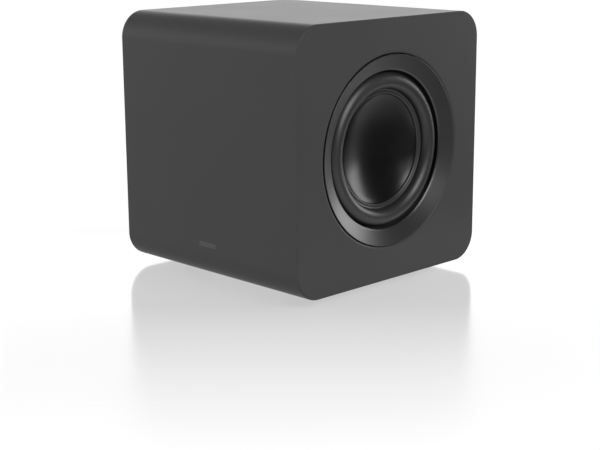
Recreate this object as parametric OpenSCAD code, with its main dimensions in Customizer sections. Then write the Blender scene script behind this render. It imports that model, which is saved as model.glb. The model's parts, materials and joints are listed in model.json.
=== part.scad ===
// Compact powered subwoofer: a satin cube cabinet, one long-throw driver and an amplifier on the rear.
// The driver faces -Y, the amplifier faces +Y, and the feet stand on z = 0.

/* [Cabinet] */
// Width of the cabinet
cab_w = 210; // [190:1:300]
// Height of the cabinet without its feet
cab_h = 210; // [190:1:300]
// Depth of the cabinet, front face to rear face
cab_d = 208; // [190:1:300]
// Radius of the four long edges
edge_r = 22; // [18:0.5:26]
// Thickness of the four wrapped walls
wall_t = 15; // [12:0.5:17]
// Thickness of the front baffle
baffle_t = 27; // [24:1:32]
// Thickness of the rear panel
rear_t = 15; // [12:1:20]
// Length of the blank badge on the left side
badge_l = 20; // [12:1:40]
// Height of the blank badge
badge_h = 4; // [2.5:0.5:8]
// Depth that the blank badge is let in
badge_t = 0.6; // [0.4:0.1:1]
// Height of the badge's middle above the cabinet's underside
badge_z = 29; // [29:1:60]

/* [Feet] */
// Height of a foot
foot_h = 6; // [5:0.5:14]
// Radius of a foot
foot_r = 11; // [9:0.5:16]
// Distance from a cabinet side to the middle of a foot
foot_inset = 42; // [24:1:60]
// Thickness of the foot's web under the screw head
foot_web = 2.5; // [2:0.5:3]

/* [Trim ring and surround] */
// Outer radius of the trim ring and the basket flange
ring_r = 76.6; // [70:0.1:82]
// Width of the trim ring, from its outer edge to its inner lip
ring_w = 12; // [11.5:0.1:15]
// How far the ring's bevel falls from the front face
ring_drop = 4.8; // [4:0.1:8]
// Thickness of the trim ring's moulded wall behind the bevel
ring_wall = 2; // [1.5:0.1:2.2]
// Thickness of the trim ring's outer wall
ring_side = 1.5; // [1:0.1:2]
// Open line between the trim ring and the baffle
ring_gap = 0.5; // [0.3:0.1:1.5]
// Radius of the baffle's rounded edge round the trim ring
rim_round = 3; // [0.5:0.1:4]
// Open groove between the ring's inner lip and the roll
roll_gap = 2.9; // [1:0.1:4]
// Width of the roll between its two feet
roll_w = 13.1; // [11:0.1:16]
// Height of the roll above the line between its feet
roll_rise = 6.1; // [4:0.1:6.4]
// Thickness of the rubber
rubber_t = 1.2; // [0.8:0.1:1.4]
// Width of the rubber lip glued to the cone
glue_lip_w = 4.6; // [2:0.1:6]

/* [Cone and motor] */
// Depth of the cone's face at the roll's inner foot, behind the front face
rim_depth = 11.6; // [10:0.1:16]
// Radius of the cone's spherical dish
dish_r = 106; // [70:0.5:120]
// Thickness of the cone
cone_t = 1.5; // [1:0.1:2.5]
// Travel of the cone, each way from rest
cone_throw = 8; // [4:0.5:10]
// Outer radius of the coil former
former_r = 19; // [15:0.5:21]
// Wall of the coil former
former_t = 0.4; // [0.3:0.1:0.8]
// Thickness of the copper winding
winding_t = 1.2; // [0.8:0.1:2]
// Air gap on each side of the coil
air_gap = 0.6; // [0.4:0.1:1]
// Distance from the dish's lowest point to the spider
spider_below = 17.5; // [14:0.5:24]
// Thickness of the spider cloth
spider_t = 0.8; // [0.5:0.1:1.2]
// Height of the spider's corrugations
spider_wave = 1.5; // [0.8:0.1:2]
// Room left between the spider and the top plate at the end of the travel
spider_room = 6; // [5:0.5:10]
// Thickness of the top plate
top_plate_t = 8; // [6:0.5:10]
// Radius of the top plate and the back plate
steel_r = 46; // [42:0.5:49]
// Radius of the magnet
magnet_r = 50; // [46:0.5:60]
// Room left behind the coil at the end of the travel
coil_room = 7; // [3:0.5:10]
// Thickness of the back plate
back_plate_t = 8; // [6:0.5:10]
// Radius of the vent through the pole
vent_r = 6; // [3:0.5:9]

/* [Basket] */
// Thickness of the basket flange
flange_t = 3; // [2:0.5:4]
// Thickness of the foam gasket under the flange
gasket_t = 1.5; // [1:0.5:2.5]
// Wall of the basket
basket_t = 2.5; // [2:0.1:3]
// Number of windows, and of screws in the flange
basket_arms = 6; // [4:1:8]
// Width of a window in the basket
window_w = 34; // [16:1:36]

/* [Amplifier] */
// Width of the amplifier plate
plate_w = 150; // [140:1:160]
// Height of the amplifier plate
plate_h = 160; // [150:1:164]
// Thickness of the amplifier plate
plate_t = 2.5; // [2:0.5:4]
// Corner radius of the amplifier plate
plate_r = 6; // [3:0.5:10]
// Width of the ledge that the plate is screwed to
ledge_w = 10; // [9:0.5:11]
// Thickness of the foam gasket behind the plate
amp_gasket_t = 1.5; // [1:0.5:2]
// Depth of the sealed chassis behind the plate
chassis_d = 52; // [50:1:64]
// Sheet thickness of the chassis
chassis_t = 1.2; // [0.8:0.1:2]
// Depth of the controls between the plate and the control board
control_d = 9; // [9:0.5:12]
// Distance from the plate to the power board
power_board_d = 38; // [36:0.5:42]
// Thickness of the circuit boards
board_t = 1.6; // [1:0.1:2.4]

/* [Controls] */
// Radius of a knob
knob_r = 9; // [7:0.5:11]
// Height of a knob
knob_h = 13.2; // [10:0.2:16]
// Gap between a knob and the plate
knob_gap = 0.8; // [0.5:0.1:2]
// Number of flutes round a knob
knob_flutes = 18; // [12:1:24]
// Radius of a knob's shaft
shaft_r = 3; // [2:0.5:3]
// Travel of a slide switch
slide_travel = 4; // [2:0.5:4]
// Length of the slide switch's nib along its travel
nib_l = 4; // [3:0.5:5]
// Tilt of the mains rocker, each way from level
rocker_tilt = 8; // [5:0.5:10]
// Outer radius of a line input's barrel
jack_r = 4.15; // [4.1:0.01:4.2]
// Length of a line input's barrel in front of its flange
jack_l = 9; // [7:0.5:10]

/* [Fits] */
// Radial room of a turning shaft in its bushing
run_gap = 0.05; // [0.02:0.01:0.1]
// Room round a screw, pin or plug in its hole
hole_gap = 0.1; // [0.05:0.01:0.2]
// Room round a part that slides or tips
slide_gap = 0.3; // [0.2:0.05:0.4]
// Thickness of a glue line between curved faces
glue_gap = 0.25; // [0.1:0.05:0.4]
// Open line round the amplifier plate
plate_gap = 0.5; // [0.2:0.1:1]
// Room between the chassis and its cut-out
chassis_gap = 3; // [2:0.5:4]

/* [Hidden] */
$fn = 96;
eps = 0.5;

// The overall box is centred on the origin: the knobs stand proud of the rear face only.
rear_reach = knob_gap + knob_h;
front_y = -(cab_d + rear_reach) / 2;
rear_y = front_y + cab_d;
axis_z = foot_h + cab_h / 2;

// Screws: head radius, head height and shank radius
foot_screw = [3.8, 2, 1.75];
driver_screw = [3.2, 2.4, 1.9];
amp_screw = [3.2, 2, 1.7];
chassis_screw = [2.8, 1.8, 1.45];
chassis_screw_l = 9;
// Wood left beyond a screw's hole, and room left beyond the screw in its hole
screw_end = 2;
foot_bevel = 1.5;
// Cross in a screw head: width of a slot, its length in head radii and its depth
cross_w = 0.9;
cross_l = 1.3;
cross_depth = 1.2;

// Levels of the driver, measured outwards from the front face
ring_lip_h = 2.4;
ring_undercut = 4;
lip_t = 1.2;
ring_lip_z = -ring_drop - ring_lip_h;
lip_z = ring_lip_z - ring_undercut;
flange_z = lip_z - lip_t;
gasket_z = flange_z - flange_t;
rebate_z = gasket_z - gasket_t;
screw_circle_r = ring_r - ring_side - driver_screw[0] - hole_gap;
lip_out_r = screw_circle_r - driver_screw[0] - 2 * hole_gap;
cutout_r = lip_out_r - 2;
ring_bore_r = ring_r - ring_w;
roll_out_r = ring_bore_r - roll_gap;
roll_in_r = roll_out_r - roll_w;
peg_r = 2;

// The dish is part of a sphere, and the rubber lip lies on it.
rim_rise = sqrt(dish_r * dish_r - roll_in_r * roll_in_r);
dish_centre_z = rim_rise - rim_depth;
dish_low_z = dish_centre_z - dish_r;
cone_r = roll_in_r + 1;
collar_h = 4;
collar_t = 2;
lip_mid_r = dish_r - glue_gap - rubber_t / 2;

// The roll is one arc between the middle of the outer lip and the middle of the glued lip.
roll_out = [roll_out_r, lip_z - lip_t / 2];
roll_in = [roll_in_r, dish_centre_z - sqrt(lip_mid_r * lip_mid_r - roll_in_r * roll_in_r)];
roll_half = norm(roll_out - roll_in) / 2;
roll_arc_r = (roll_half * roll_half + roll_rise * roll_rise) / (2 * roll_rise);
roll_along = (roll_out - roll_in) / (2 * roll_half);
roll_up = [-roll_along[1], roll_along[0]];
roll_centre = (roll_out + roll_in) / 2 - roll_up * (roll_arc_r - roll_rise);

// Levels of the suspension and the motor
spider_z = dish_low_z - spider_below;
former_tail = 1;
magnet_t = 2 * cone_throw + former_tail + coil_room;
top_plate_z = spider_z - cone_throw - spider_room;
magnet_z = top_plate_z - top_plate_t;
back_z = magnet_z - magnet_t;
yoke_z = back_z - back_plate_t;
coil_h = top_plate_t + 2 * cone_throw;
coil_mid_z = top_plate_z - top_plate_t / 2;
former_top_z = dish_back_z(former_r) - glue_gap;
former_low_z = coil_mid_z - coil_h / 2 - former_tail;
winding_r = former_r + hole_gap / 2 + winding_t;
gap_out_r = winding_r + air_gap;
pole_r = former_r - former_t - air_gap;
magnet_bore_r = gap_out_r + 4;

// The basket's landing for the spider, and the terminal on it
landing_z = spider_z - spider_t / 2;
landing_t = 2;
landing_r = roll_in_r + 2.4;
landing_step = 3;
spider_out_r = landing_r - basket_t - 1;
spider_flat_w = 5;
spider_waves = 4;
spider_steps = 48;
flange_in_r = roll_out_r - 2.5;
window_top = 4;
seat_in_r = magnet_bore_r + 2;
seat_out_r = steel_r + 0.5;
tab_plate_w = 24;
tab_plate_l = 12;
tab_plate_root = 2;
terminal_y = landing_r + 1;
terminal_l = 8;
terminal_t = 1.6;
blade_w = 6.3;
blade_t = 0.8;
blade_l = 14;
blade_x = 7;
blade_y = terminal_y + 4;

// Flexible leads from the terminal to the cone: y and z in the driver's frame
lead_d = 1.4;
lead_sides = 8;
lead_top_z = landing_z + terminal_t + lead_d / 2 + hole_gap;
lead_cone_y = 27;
lead_cone_z = dish_back_z(norm([lead_cone_y, blade_x])) - 2 * glue_gap;
lead_step = (blade_y - lead_cone_y) / 28;
lead_route = [
    [blade_y, lead_top_z], [blade_y - lead_step, lead_top_z], [blade_y - 2 * lead_step, lead_top_z],
    [blade_y - 5 * lead_step, lead_top_z + 3], [blade_y - 9 * lead_step, lead_top_z + 7],
    [blade_y - 15 * lead_step, lead_top_z + 7], [blade_y - 20 * lead_step, lead_top_z + 6],
    [blade_y - 25 * lead_step, lead_top_z + 7], [lead_cone_y, lead_top_z + 10],
    [lead_cone_y, lead_cone_z - 3], [lead_cone_y, lead_cone_z]
];

// The amplifier, measured outwards from the rear face
cut_w = plate_w - 2 * ledge_w;
cut_h = plate_h - 2 * ledge_w;
chassis_w = cut_w - 2 * chassis_gap;
chassis_h = cut_h - 2 * chassis_gap;
chassis_r = 4;
chassis_z = -plate_t - chassis_d;
control_z = -plate_t - control_d;
power_z = -plate_t - power_board_d;
post_r = 3.5;
post_stud_r = 1.5;
post_x = chassis_w / 2 - 8;
post_y = chassis_h / 2 - 9;
control_board_w = 2 * (post_x - post_r) - 3;
control_board_h = 80;
control_board_y = plate_h / 2 - 58;
power_board_w = chassis_w - 10;
power_board_h = chassis_h - 10;
board_room = 5.4;
part_h = power_board_d - control_d - board_t - board_room;
link_at = [-25, 38];
link_w = 24;
link_t = 5;
transformer_at = [-30, 0];
core_size = [28, 10];
winding_size = [18, 24];
winding_step = 3;
capacitor_at = [[14, -6], [34, -6]];
capacitor_r = 8;
capacitor_h = part_h - 2;
capacitor_groove = [0.4, 0.8];
inductor_at = [[16, 16], [36, 16]];
inductor_r = 8;
inductor_bore_r = 3.5;
inductor_h = 8;
sink_at = [20, 40];
sink_w = 50;
sink_d = 14;
sink_fins = 6;
sink_web = 4;
sink_fin = 2;
grommet_at = [0, -20];
grommet_r = 5;
grommet_bore_r = 3.2;
grommet_lip = 1.5;

// Where the controls sit on the plate, seen from behind: x to the right, y up
left_column = 41 - plate_w / 2;
mid_column = 6;
right_column = plate_w / 2 - 33;
top_row = plate_h / 2 - 34;
low_row = 36 - plate_h / 2;
volume_at = [left_column, top_row];
crossover_at = [mid_column, top_row];
lamp_at = [right_column, top_row + 4];
phase_at = [left_column, top_row - 38];
mode_at = [mid_column, top_row - 38];
left_at = [right_column, top_row - 22];
right_at = [right_column, top_row - 44];
inlet_at = [left_column + 10, low_row];
switch_at = [right_column - 8, low_row];

// Pots and knobs
pot_r = 8;
pot_floor = 1;
bushing_r = shaft_r + 0.5;
bushing_h = 4;
knob_skirt_r = bushing_r + 1;
knob_cap = 3;
knob_ease = 0.8;
flute_r = 0.7;
pointer = [1, 4.5];
pointer_y = knob_r - 3.2;
pointer_d = 0.6;

// Slide switches
slide_body = [20, 9];
slide_base = [8, 5.4];
slide_base_h = 3.6;
nib_w = 3.8;
nib_h = 3.5;

// Line inputs and the power lamp
jack_flange_r = 5.8;
jack_flange_t = 1.4;
jack_wall = 0.65;
jack_bore_r = jack_r - jack_wall;
jack_thread_r = jack_bore_r - 0.1;
core_bore_r = 1.6;
core_floor = 2;
core_recess = 1;
lamp_r = 1.5;
lamp_h = 0.9;

// Mains inlet: a three-blade socket over a fuse drawer
inlet_flange = [33, 40];
inlet_flange_t = 2;
inlet_body = [27.6, 34];
inlet_body_d = 20;
inlet_corner_r = 2;
socket = [24.2, 16.4];
socket_y = 6;
socket_d = 16;
socket_cut = 4.5;
blade = [2, 4];
inlet_blades = [[-7, -2], [7, -2], [0, 2]];
inlet_blade_tip = 5;
inlet_blade_tail = 4;
drawer_front = [23.6, 7.6];
drawer_y = -10.5;
drawer_tray = [22, 6.6];
drawer_tray_d = 9;
drawer_notch_r = 2;
drawer_pocket = [19, 5];
drawer_pocket_d = 2;

// Mains rocker
rocker_flange = [15, 21];
rocker_flange_t = 1.8;
rocker_body = [13.2, 19];
rocker_body_d = 14;
rocker_w = 10;
rocker_r = 7.7;
rocker_z = -0.6;
rocker_end_h = 4.6;
rocker_mid_h = 3.2;
rocker_pin_r = 1.2;
rocker_reach = rocker_w / 2 + 1;

// Speaker cable: the right-hand wire's points in the object's frame
wire_d = 2.4;
wire_sides = 8;
wire_pitch = 1.6;
wire_top = axis_z + blade_y + blade_l;
wire_y = front_y - landing_z - terminal_t - blade_t / 2;
wire_in = rear_y + chassis_z;
wire_z = axis_z + grommet_at[1];
wire_over = axis_z + magnet_r;
// The wire falls through the room between the motor and the chassis, in steps of a fiftieth of it
wire_step = (wire_in - front_y + yoke_z) / 50;
wire_route = [
    [blade_x, wire_y, wire_top], [blade_x, wire_y, wire_top + 2], [blade_x, wire_y, wire_top + 4],
    [blade_x, wire_y + 4, wire_top + 11], [6, wire_y + 14, wire_top + 14],
    [5, wire_y + 27, wire_over + 28], [4, wire_y + 42, wire_over + 11],
    [3, wire_in - 41 * wire_step, wire_over + 8], [2.4, wire_in - 32 * wire_step, wire_z + 52],
    [2, wire_in - 26 * wire_step, wire_z + 28], [wire_pitch, wire_in - 19 * wire_step, wire_z + 8],
    [wire_pitch, wire_in - 9 * wire_step, wire_z], [wire_pitch, wire_in - 4 * wire_step, wire_z],
    [wire_pitch, wire_in + 4, wire_z], [wire_pitch, rear_y + power_z - board_t, wire_z]
];

// Height of the cone's rear face at radius r from the driver's axis
function dish_back_z(r) = dish_centre_z - sqrt((dish_r + cone_t) * (dish_r + cone_t) - r * r);

// A point on the smooth curve through four route points
function curve(a, b, c, d, t) =
    0.5 * (2 * b + (c - a) * t + (2 * a - 5 * b + 4 * c - d) * t * t + (3 * b - a - 3 * c + d) * t * t * t);

// The route with one more point on the curve between each two
function smooth(route) = [
    for (i = [0:len(route) - 2], t = [0, 0.5])
        curve(route[max(i - 1, 0)], route[i], route[i + 1], route[min(i + 2, len(route) - 1)], t),
    route[len(route) - 1]
];

function unit(v) = v / norm(v);

// Points of an arc from angle a to angle b
function arc(centre, r, a, b, steps) =
    [for (i = [0:steps]) centre + r * [cos(a + (b - a) * i / steps), sin(a + (b - a) * i / steps)]];

// Frames: the driver looks out of the front, the amplifier out of the rear
module at_driver() translate([0, front_y, axis_z]) rotate([90, 0, 0]) children();
module at_rear() translate([0, rear_y, axis_z]) rotate([90, 0, 180]) children();

module rounded(w, h, r) {
    square([w - 2 * r, h], center = true);
    square([w, h - 2 * r], center = true);
    for (x = [-1, 1], y = [-1, 1])
        translate([x * (w / 2 - r), y * (h / 2 - r)]) circle(r);
}

module slab(w, h, r, low, high)
    translate([0, 0, low]) linear_extrude(high - low) rounded(w, h, r);

module block(size, low, high)
    translate([-size[0] / 2, -size[1] / 2, low]) cube([size[0], size[1], high - low]);

module rod(r, low, high) translate([0, 0, low]) cylinder(h = high - low, r = r);

module pipe(out_r, in_r, low, high)
    difference() {
        rod(out_r, low, high);
        rod(in_r, low - eps, high + eps);
    }

module around(count, r, first = 0)
    for (i = [0:count - 1])
        rotate(first + 360 * i / count) translate([r, 0, 0]) children();

// A pan head screw with its seat at z = 0 and its shank below
module screw(size, l) {
    difference() {
        rod(size[0], 0, size[1]);
        for (a = [0, 90])
            rotate(a) block([cross_l * size[0], cross_w], size[1] - cross_depth, size[1] + eps);
    }
    rod(size[2], -l, eps);
}

// A round tube swept along a route that stays close to the plane x = constant
module tube(route, d, sides) {
    path = smooth(route);
    last = len(path) - 1;
    tangent = [for (i = [0:last]) unit(path[min(i + 1, last)] - path[max(i - 1, 0)])];
    side = [for (t = tangent) unit([1, 0, 0] - t[0] * t)];
    up = [for (i = [0:last]) cross(tangent[i], side[i])];
    points = [
        for (i = [0:last], k = [0:sides - 1])
            path[i] + d / 2 * (cos(360 * k / sides) * side[i] + sin(360 * k / sides) * up[i])
    ];
    walls = [
        for (i = [0:last - 1], k = [0:sides - 1])
            let (a = i * sides + k, b = i * sides + (k + 1) % sides)
                each [[a, a + sides, b], [b, a + sides, b + sides]]
    ];
    caps = [
        for (k = [1:sides - 2])
            each [[0, k, k + 1], [last * sides, last * sides + k + 1, last * sides + k]]
    ];
    polyhedron(points, concat(walls, caps));
}

// Cabinet

module foot_place(sx, sy) {
    y = sy < 0 ? front_y + foot_inset : rear_y - foot_inset;
    translate([sx * (cab_w / 2 - foot_inset), y, 0]) children();
}

module feet_places() for (sx = [-1, 1], sy = [-1, 1]) foot_place(sx, sy) children();

module badge_bar(depth)
    translate([-cab_w / 2, front_y + cab_d / 2, foot_h + badge_z]) rotate([90, 0, 90])
        linear_extrude(depth) rounded(badge_l, badge_h, badge_h / 4);

module cabinet_wrap() color("#464646")
    difference() {
        at_driver() translate([0, 0, -cab_d + rear_t]) linear_extrude(cab_d - rear_t - baffle_t)
            difference() {
                rounded(cab_w, cab_h, edge_r);
                rounded(cab_w - 2 * wall_t, cab_h - 2 * wall_t, edge_r - wall_t);
            }
        translate([-eps, 0, 0]) badge_bar(badge_t + eps);
        feet_places() rod(foot_screw[2] + hole_gap, 0, foot_h + wall_t - screw_end);
    }

// What is taken off the baffle's edge round the trim ring to leave it rounded
module rim_cut() {
    rim_r = ring_r + ring_gap;
    difference() {
        translate([rim_r - eps, -rim_round]) square([rim_round + eps, rim_round + eps]);
        translate([rim_r + rim_round, -rim_round]) circle(rim_round);
    }
}

module front_baffle() color("#444444")
    at_driver() difference() {
        slab(cab_w, cab_h, edge_r, -baffle_t, 0);
        rod(ring_r + ring_gap, rebate_z, eps);
        rotate_extrude() rim_cut();
        rod(cutout_r, -baffle_t - eps, 0);
        around(basket_arms, screw_circle_r, 180 / basket_arms)
            rod(driver_screw[2] + hole_gap, screw_end - baffle_t, 0);
    }

module rear_panel() color("#3e3e3e")
    at_rear() difference() {
        slab(cab_w, cab_h, edge_r, -rear_t, 0);
        slab(plate_w + 2 * plate_gap, plate_h + 2 * plate_gap, plate_r, -plate_t - amp_gasket_t, eps);
        slab(cut_w, cut_h, plate_r, -rear_t - eps, 0);
        amp_screw_places() rod(amp_screw[2] + hole_gap, screw_end - rear_t, 0);
    }

module badge_blank() color("#5a5a5a") badge_bar(badge_t);

module foot() color("#1c1c1c")
    rotate_extrude() polygon([
        [foot_screw[2] + hole_gap, foot_h], [foot_screw[2] + hole_gap, foot_h - foot_web],
        [foot_screw[0] + slide_gap, foot_h - foot_web], [foot_screw[0] + slide_gap, 0],
        [foot_r - foot_bevel, 0], [foot_r, foot_bevel], [foot_r, foot_h]
    ]);

module foot_screws() color("#8a8a8a")
    feet_places() translate([0, 0, foot_h - foot_web]) mirror([0, 0, 1])
        screw(foot_screw, foot_web + wall_t - 2 * screw_end);

// Driver

module driver_gasket() color("#161616")
    at_driver() difference() {
        pipe(ring_r, cutout_r, rebate_z, gasket_z);
        around(basket_arms, screw_circle_r, 180 / basket_arms)
            rod(driver_screw[2] + hole_gap, rebate_z - eps, gasket_z + eps);
    }

module basket_outline()
    polygon([
        [ring_r, flange_z], [ring_r, gasket_z], [flange_in_r + basket_t + 1, gasket_z],
        [landing_r, landing_z], [landing_r, landing_z - landing_t], [seat_out_r, landing_z - landing_t],
        [seat_out_r, top_plate_z], [seat_in_r, top_plate_z], [seat_in_r, top_plate_z + basket_t],
        [seat_out_r - basket_t, top_plate_z + basket_t], [seat_out_r - basket_t, landing_z - landing_t],
        [spider_out_r - spider_flat_w, landing_z - landing_t], [spider_out_r - spider_flat_w, landing_z],
        [landing_r - basket_t, landing_z], [flange_in_r, gasket_z - 1], [flange_in_r, flange_z]
    ]);

module driver_basket() color("#2a2a2a")
    at_driver() {
        difference() {
            rotate_extrude() basket_outline();
            around(basket_arms, landing_r, 90)
                block([2 * (cutout_r - landing_r), window_w],
                    landing_z + landing_step, gasket_z - window_top);
            around(basket_arms, screw_circle_r, 180 / basket_arms)
                rod(driver_screw[2] + hole_gap, gasket_z - eps, flange_z + eps);
            around(basket_arms, screw_circle_r)
                rod(peg_r + hole_gap, gasket_z - eps, flange_z + eps);
        }
        translate([0, landing_r - tab_plate_root + tab_plate_l / 2, 0])
            block([tab_plate_w, tab_plate_l], landing_z - landing_t, landing_z);
    }

module driver_screws() color("#303030")
    at_driver() around(basket_arms, screw_circle_r, 180 / basket_arms)
        translate([0, 0, flange_z]) screw(driver_screw, baffle_t + flange_z - 2 * screw_end);

// The bevel falls from the front face to the inner lip, and the ring is hollow behind it for the screw heads.
module trim_ring() color("#3c3c3c")
    at_driver() {
        ease = 0.4;
        rim_w = 0.4;
        wall_in_r = ring_r - ring_side;
        rib_r = cutout_r;
        rib_t = 1.6;
        bevel_r = ring_r - ease - rim_w;
        slope = ring_drop / (bevel_r - ring_bore_r);
        rotate_extrude() polygon(concat(
            [[ring_r, flange_z]],
            arc([ring_r - ease, -ease], ease, 0, 90, 5),
            [[bevel_r, 0]],
            arc([ring_bore_r, ring_lip_z + ring_lip_h / 2], ring_lip_h / 2, 90 + atan(slope), 270, 8),
            [
                [rib_r, ring_lip_z], [rib_r, lip_z], [rib_r + rib_t, lip_z],
                [rib_r + rib_t, slope * (rib_r + rib_t - bevel_r) - ring_wall],
                [wall_in_r, slope * (wall_in_r - bevel_r) - ring_wall], [wall_in_r, flange_z]
            ]
        ));
        around(basket_arms, screw_circle_r)
            rod(peg_r, gasket_z + eps, slope * (screw_circle_r - peg_r - bevel_r) - ring_wall / 2);
    }

// The part of the roll's circle below its two feet is cut away.
module roll_outline() {
    foot_out = 2 * (roll_out - roll_centre);
    foot_in = 2 * (roll_in - roll_centre);
    below = -2 * roll_w * roll_up;
    translate(roll_centre) difference() {
        circle(roll_arc_r + rubber_t / 2);
        circle(roll_arc_r - rubber_t / 2);
        polygon([[0, 0], foot_out, foot_out + below, foot_in + below, foot_in]);
    }
}

module surround() color("#2b2b2b")
    at_driver() rotate_extrude() {
        roll_outline();
        translate([roll_out_r - rubber_t / 2, flange_z])
            square([lip_out_r - roll_out_r + rubber_t / 2, lip_t]);
        intersection() {
            difference() {
                translate([0, dish_centre_z]) circle(dish_r - glue_gap);
                translate([0, dish_centre_z]) circle(dish_r - glue_gap - rubber_t);
            }
            translate([roll_in_r - glue_lip_w, -2 * rim_depth])
                square([glue_lip_w + rubber_t / 2, 2 * rim_depth]);
        }
    }

module cone() color("#1f1f1f")
    at_driver() rotate_extrude() {
        intersection() {
            difference() {
                translate([0, dish_centre_z]) circle(dish_r + cone_t);
                translate([0, dish_centre_z]) circle(dish_r);
            }
            translate([0, dish_low_z - 2 * cone_t]) square([cone_r, rim_rise]);
        }
        translate([former_r + glue_gap, former_top_z - collar_h])
            square([collar_t, collar_h + cone_t]);
    }

module coil_former() color("#b9a26a")
    at_driver() pipe(former_r, former_r - former_t, former_low_z, former_top_z);

module voice_coil() color("#b06a35")
    at_driver() pipe(winding_r, former_r + hole_gap / 2, coil_mid_z - coil_h / 2, coil_mid_z + coil_h / 2);

module spider() color("#c9a24a")
    at_driver() {
        in_r = former_r + glue_gap;
        wave_in = in_r + 2;
        wave_out = spider_out_r - spider_flat_w;
        wave = [
            for (i = [0:spider_steps])
                let (s = i / spider_steps)
                    [wave_in + s * (wave_out - wave_in), spider_z + spider_wave * sin(360 * spider_waves * s)]
        ];
        middle = concat([[in_r, spider_z]], wave, [[spider_out_r, spider_z]]);
        top = [for (p = middle) p + [0, spider_t / 2]];
        low = [for (i = [len(middle) - 1:-1:0]) middle[i] - [0, spider_t / 2]];
        rotate_extrude() polygon(concat(top, low));
    }

module tinsel_leads() color("#b87333")
    at_driver() for (side = [-1, 1])
        tube([for (p = lead_route) [side * blade_x, p[0], p[1]]], lead_d, lead_sides);

module terminal_board() color("#6b4a2a")
    at_driver() translate([0, terminal_y + terminal_l / 2, 0])
        block([tab_plate_w, terminal_l], landing_z, landing_z + terminal_t);

module terminal_tabs() color("#c8b068")
    at_driver() for (side = [-1, 1])
        translate([side * blade_x, blade_y + blade_l / 2, 0])
            block([blade_w, blade_l], landing_z + terminal_t, landing_z + terminal_t + blade_t);

module top_plate() color("#3a3d40")
    at_driver() pipe(steel_r, gap_out_r, magnet_z, top_plate_z);

module magnet() color("#26282a")
    at_driver() pipe(magnet_r, magnet_bore_r, back_z, magnet_z);

module pole_yoke() color("#3a3d40")
    at_driver() difference() {
        union() {
            rod(steel_r, yoke_z, back_z);
            rod(pole_r, yoke_z, top_plate_z + former_tail);
        }
        rod(vent_r, yoke_z - eps, top_plate_z + former_tail + eps);
    }

// Amplifier

module amp_screw_places()
    for (x = [-1, 0, 1], y = [-1, 0, 1])
        if (x != 0 || y != 0)
            translate([x * (plate_w - ledge_w) / 2, y * (plate_h - ledge_w) / 2, 0]) children();

module post_places()
    for (x = [-1, 1], y = [-1, 1]) translate([x * post_x, y * post_y, 0]) children();

module amp_plate() color("#202122")
    at_rear() difference() {
        slab(plate_w, plate_h, plate_r, -plate_t, 0);
        amp_screw_places() rod(amp_screw[2] + hole_gap, -plate_t - eps, eps);
        post_places() rod(chassis_screw[2] + hole_gap, -plate_t - eps, eps);
        for (at = [volume_at, crossover_at])
            translate(at) rod(bushing_r + hole_gap, -plate_t - eps, eps);
        for (at = [left_at, right_at])
            translate(at) rod(jack_thread_r + hole_gap, -plate_t - eps, eps);
        translate(lamp_at) rod(lamp_r + hole_gap, -plate_t - eps, eps);
        for (at = [phase_at, mode_at])
            translate(at)
                block([slide_travel + nib_l + 2 * slide_gap, nib_w + 2 * slide_gap], -plate_t - eps, eps);
        translate(inlet_at) block(inlet_body + [2, 2] * hole_gap, -plate_t - eps, eps);
        translate(switch_at) block(rocker_body + [2, 2] * hole_gap, -plate_t - eps, eps);
    }

module amp_gasket() color("#161616")
    at_rear() difference() {
        slab(plate_w, plate_h, plate_r, -plate_t - amp_gasket_t, -plate_t);
        slab(cut_w, cut_h, plate_r, -plate_t - amp_gasket_t - eps, -plate_t + eps);
        amp_screw_places() rod(amp_screw[2] + hole_gap, -plate_t - amp_gasket_t - eps, -plate_t + eps);
    }

module amp_screws() color("#2c2c2c")
    at_rear() amp_screw_places() screw(amp_screw, rear_t - 2 * screw_end);

module amp_chassis() color("#9a9da0")
    at_rear() difference() {
        slab(chassis_w, chassis_h, chassis_r, chassis_z, -plate_t);
        slab(chassis_w - 2 * chassis_t, chassis_h - 2 * chassis_t, chassis_r - chassis_t,
            chassis_z + chassis_t, -plate_t + eps);
        translate(grommet_at) rod(grommet_r, chassis_z - eps, chassis_z + 2 * chassis_t);
    }

module chassis_posts() color("#b8b8b0")
    at_rear() post_places() difference() {
        union() {
            rod(post_r, power_z, -plate_t);
            rod(post_stud_r, chassis_z + chassis_t, power_z + eps);
        }
        rod(chassis_screw[2] + run_gap, -plate_t - chassis_screw_l, -plate_t + eps);
    }

module chassis_screws() color("#2c2c2c")
    at_rear() post_places() screw(chassis_screw, chassis_screw_l);

module control_board() color("#20502e")
    at_rear() translate([0, control_board_y, 0])
        block([control_board_w, control_board_h], control_z - board_t, control_z);

module power_board() color("#20502e")
    at_rear() difference() {
        block([power_board_w, power_board_h], power_z - board_t, power_z);
        post_places() rod(post_stud_r + hole_gap, power_z - board_t - eps, power_z + eps);
    }

module board_link() color("#151515")
    at_rear() translate(link_at) block([link_w, link_t], power_z, control_z - board_t);

module transformer() color("#3b3426")
    at_rear() translate(transformer_at) {
        block(core_size, power_z, power_z + part_h);
        block(winding_size, power_z + winding_step, power_z + part_h - winding_step);
    }

module filter_capacitors() color("#1d2a4a")
    at_rear() for (at = capacitor_at)
        translate(at) difference() {
            rod(capacitor_r, power_z, power_z + capacitor_h);
            translate([0, 0, power_z + 2])
                pipe(capacitor_r + eps, capacitor_r - capacitor_groove[0], 0, capacitor_groove[1]);
        }

module output_inductors() color("#a8622c")
    at_rear() for (at = inductor_at)
        translate(at) pipe(inductor_r, inductor_bore_r, power_z, power_z + inductor_h);

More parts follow.
